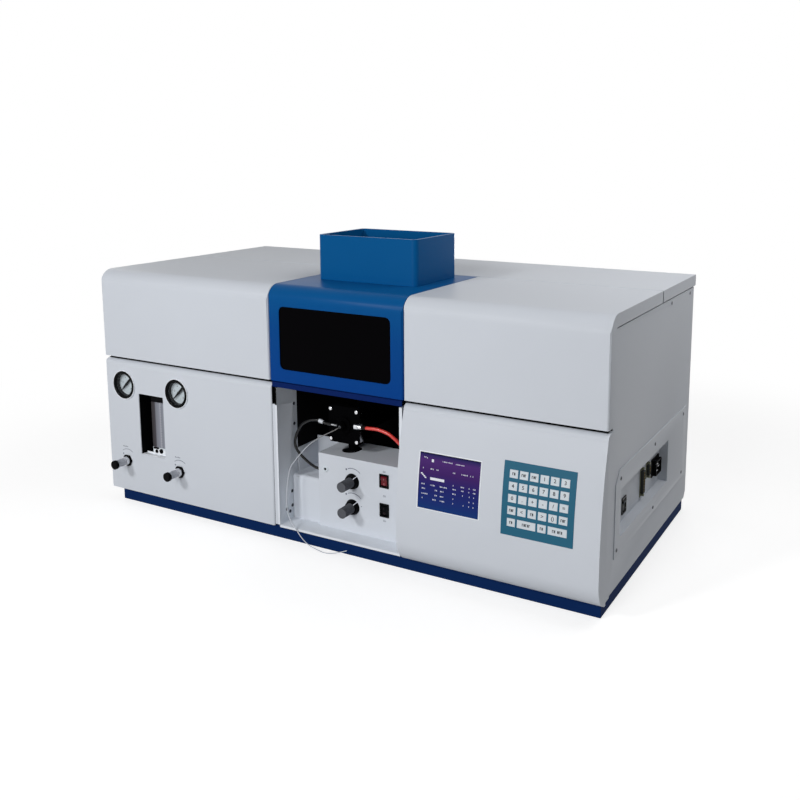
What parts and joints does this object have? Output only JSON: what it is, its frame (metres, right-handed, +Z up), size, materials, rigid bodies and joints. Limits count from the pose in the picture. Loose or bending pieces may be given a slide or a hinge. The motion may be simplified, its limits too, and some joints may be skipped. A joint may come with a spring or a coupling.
{
  "type": "flame atomic absorption spectrophotometer",
  "caption": "Bench flame spectrophotometer with a burner bay under a windowed hood and duct, lifting covers, gas gauges and valves, a leaning display panel and turning knobs.",
  "frame": {"origin": "middle of the bounding box at bench level", "axes": "+Z up, -Y towards the user, +X towards the display end"},
  "size_m": [1.02, 0.548, 0.54],
  "materials": {
    "white_enamel": "satin",
    "blue_enamel": "satin",
    "navy_enamel": "satin",
    "black_enamel": "matte",
    "zinc_steel": "brushed",
    "bright_steel": "polished",
    "cast_alloy": "matte",
    "black_plastic": "matte",
    "grey_plastic": "matte",
    "gloss_black": "gloss",
    "gloss_red": "gloss",
    "dial_white": "matte",
    "clear_acrylic": "clear",
    "smoked_glass": "gloss",
    "screen_glass": "gloss",
    "keypad_film": "matte",
    "foot_rubber": "matte",
    "board_green": "satin",
    "valve_brass": "satin",
    "white_tube": "satin",
    "black_hose": "satin",
    "red_hose": "satin"
  },
  "bodies": {
    "cabinet": {"base_plinth": "navy_enamel", "feet": "foot_rubber", "left_bulkhead": "zinc_steel", "right_bulkhead": "zinc_steel", "lamp_deck": "black_enamel", "optics_deck": "black_enamel", "rear_panel": "white_enamel", "rear_top_cover": "white_enamel", "left_side_panel": "white_enamel", "right_side_panel": "white_enamel", "connector_plate": "white_enamel", "gas_panel": "white_enamel", "control_panel": "white_enamel", "flame_hood": "blue_enamel", "hood_window": "smoked_glass", "chimney": "blue_enamel", "bay_frame": "white_enamel", "chamber_liner": "black_enamel", "burner_shelf": "white_enamel", "display": "screen_glass", "keypad": "keypad_film", "gauge_cases": "gloss_black", "gauge_dials": "dial_white", "gauge_lenses": "clear_acrylic", "flowmeter_housing": "black_plastic", "flowmeter_tube": "clear_acrylic", "valve_bodies": "bright_steel", "switch_cases": "gloss_black", "side_connectors": "bright_steel", "slide_base": "zinc_steel", "turret_bracket": "zinc_steel", "lens_tubes": "black_enamel", "monochromator": "cast_alloy", "detector": "black_enamel", "power_supply": "zinc_steel", "main_board": "board_green", "gas_manifold": "valve_brass"},
    "lamp_lid": {"lamp_cover": "white_enamel"},
    "optics_lid": {"right_cover": "white_enamel"},
    "turret": {"lamp_turret": "black_enamel", "cathode_lamps": "clear_acrylic"},
    "air_pointer": {"air_needle": "gloss_black"},
    "fuel_pointer": {"fuel_needle": "gloss_black"},
    "float": {"flow_float": "bright_steel"},
    "air_valve": {"air_valve_knob": "grey_plastic"},
    "fuel_valve": {"fuel_valve_knob": "grey_plastic"},
    "carriage": {"cross_slide": "cast_alloy"},
    "burner_lift": {"lift_column": "black_enamel", "mixing_chamber": "black_plastic", "end_cap": "black_plastic", "nebulizer": "black_enamel", "capillary_tube": "white_tube", "oxidant_hose": "black_hose", "fuel_hose": "red_hose"},
    "burner": {"burner_head": "zinc_steel"},
    "height_adjuster": {"height_knob": "grey_plastic"},
    "depth_adjuster": {"depth_knob": "grey_plastic"},
    "ignition_switch": {"ignition_rocker": "gloss_red"},
    "gas_switch": {"gas_rocker": "gloss_black"},
    "mains_switch": {"mains_rocker": "gloss_black"}
  },
  "joints": [
    {"name": "lamp_lid_hinge", "type": "hinge", "parent": "cabinet", "child": "lamp_lid", "pos_m": [-0.3065, 0.028, 0.458], "axis": [-1, 0, 0], "range_deg": [0, 72]},
    {"name": "optics_lid_hinge", "type": "hinge", "parent": "cabinet", "child": "optics_lid", "pos_m": [0.339, 0.028, 0.458], "axis": [-1, 0, 0], "range_deg": [0, 72]},
    {"name": "turret_spin", "type": "hinge", "parent": "cabinet", "child": "turret", "pos_m": [-0.26, -0.064, 0.379], "axis": [1, 0, 0], "range_deg": [0, 270]},
    {"name": "air_pointer_turn", "type": "hinge", "parent": "cabinet", "child": "air_pointer", "pos_m": [-0.461, -0.234, 0.239], "axis": [0, 1, 0], "range_deg": [0, 270], "stiffness_Nm_per_rad": 0.0005},
    {"name": "fuel_pointer_turn", "type": "hinge", "parent": "cabinet", "child": "fuel_pointer", "pos_m": [-0.325, -0.234, 0.239], "axis": [0, 1, 0], "range_deg": [0, 270], "stiffness_Nm_per_rad": 0.0005},
    {"name": "float_rise", "type": "slide", "parent": "cabinet", "child": "float", "axis": [0, 0, 1], "range_m": [0, 0.074]},
    {"name": "air_valve_turn", "type": "hinge", "parent": "cabinet", "child": "air_valve", "pos_m": [-0.462, -0.258, 0.087], "axis": [0, -1, 0], "range_deg": [0, 1080]},
    {"name": "fuel_valve_turn", "type": "hinge", "parent": "cabinet", "child": "fuel_valve", "pos_m": [-0.325, -0.258, 0.087], "axis": [0, -1, 0], "range_deg": [0, 1080]},
    {"name": "carriage_slide", "type": "slide", "parent": "cabinet", "child": "carriage", "axis": [0, -1, 0], "range_m": [0, 0.008]},
    {"name": "burner_lift_slide", "type": "slide", "parent": "carriage", "child": "burner_lift", "axis": [0, 0, 1], "range_m": [0, 0.012]},
    {"name": "burner_turn", "type": "hinge", "parent": "burner_lift", "child": "burner", "pos_m": [0.016, -0.064, 0.28], "axis": [0, 0, 1], "range_deg": [0, 90]},
    {"name": "height_knob_turn", "type": "hinge", "parent": "carriage", "child": "height_adjuster", "pos_m": [0.044, -0.218, 0.1235], "axis": [0, 1, 0], "range_deg": [0, 69]},
    {"name": "depth_knob_turn", "type": "hinge", "parent": "cabinet", "child": "depth_adjuster", "pos_m": [0.044, -0.218, 0.077], "axis": [0, 1, 0], "range_deg": [0, 721]},
    {"name": "ignition_rock", "type": "hinge", "parent": "cabinet", "child": "ignition_switch", "pos_m": [0.109, -0.2, 0.1355], "axis": [-1, 0, 0], "range_deg": [0, 18]},
    {"name": "gas_rock", "type": "hinge", "parent": "cabinet", "child": "gas_switch", "pos_m": [0.109, -0.2, 0.0835], "axis": [-1, 0, 0], "range_deg": [0, 18]},
    {"name": "mains_rock", "type": "hinge", "parent": "cabinet", "child": "mains_switch", "pos_m": [0.4892, -0.101, 0.1315], "axis": [0, -1, 0], "range_deg": [0, 18]}
  ],
  "couplings": [
    {"joint": "height_knob_turn", "follows": "burner_lift_slide", "rad_per_m": 100},
    {"joint": "depth_knob_turn", "follows": "carriage_slide", "rad_per_m": 1570.8}
  ]
}
